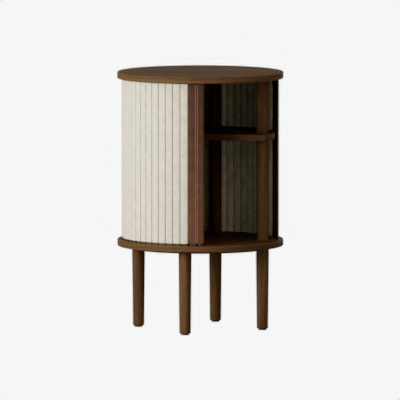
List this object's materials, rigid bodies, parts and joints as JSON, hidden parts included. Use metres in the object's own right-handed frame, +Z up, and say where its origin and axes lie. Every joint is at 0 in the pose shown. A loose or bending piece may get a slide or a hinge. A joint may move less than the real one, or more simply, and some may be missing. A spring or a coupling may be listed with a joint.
{
  "type": "bedside table",
  "caption": "Round bedside table on slim turned legs, with a cloth and leather tambour curtain that turns round the cabinet to open or cover a shelf.",
  "frame": {"origin": "middle of the table on the floor, under the centre of the round plates", "axes": "+Z up; the front post and leg stand towards -Y, and the opening at rest faces +X and -Y"},
  "size_m": [0.4, 0.4, 0.622],
  "materials": {
    "stained_wood_top": "dark stained oak, satin",
    "stained_wood": "dark stained oak, satin",
    "glide_plastic": "matt black",
    "insert_brass": "plain",
    "stud_steel": "zinc plated",
    "slat_wood": "dark stained",
    "under_plate_dark": "dark painted, matt",
    "curtain_cloth": "plain weave, oat",
    "curtain_lining": "plain weave, oat, inside",
    "leather": "brown grained leather"
  },
  "bodies": {
    "frame": {"top_plate": "stained_wood_top", "base_plate": "stained_wood", "under_plate": "under_plate_dark", "shelf": "stained_wood", "leg_front": "stained_wood", "leg_right": "stained_wood", "leg_back": "stained_wood", "leg_left": "stained_wood", "glide_front": "glide_plastic", "glide_right": "glide_plastic", "glide_back": "glide_plastic", "glide_left": "glide_plastic", "post_front": "stained_wood", "post_right_lower": "stained_wood", "post_back_lower": "stained_wood", "post_left_lower": "stained_wood", "post_right_upper": "stained_wood", "post_back_upper": "stained_wood", "post_left_upper": "stained_wood", "leg_inserts": "insert_brass", "post_inserts": "insert_brass", "top_plate_inserts": "insert_brass", "leg_studs": "stud_steel", "shelf_studs": "stud_steel", "top_studs": "stud_steel"},
    "curtain": {"curtain_slats": "slat_wood", "end_slats": "slat_wood", "curtain_cloth": "curtain_cloth", "curtain_lining": "curtain_lining", "leather_end_front": "leather", "leather_end_rear": "leather"}
  },
  "joints": [
    {"name": "curtain_turn", "type": "hinge", "parent": "frame", "child": "curtain", "pos_m": [0, 0, 0.412], "axis": [0, 0, 1], "continuous": true}
  ]
}
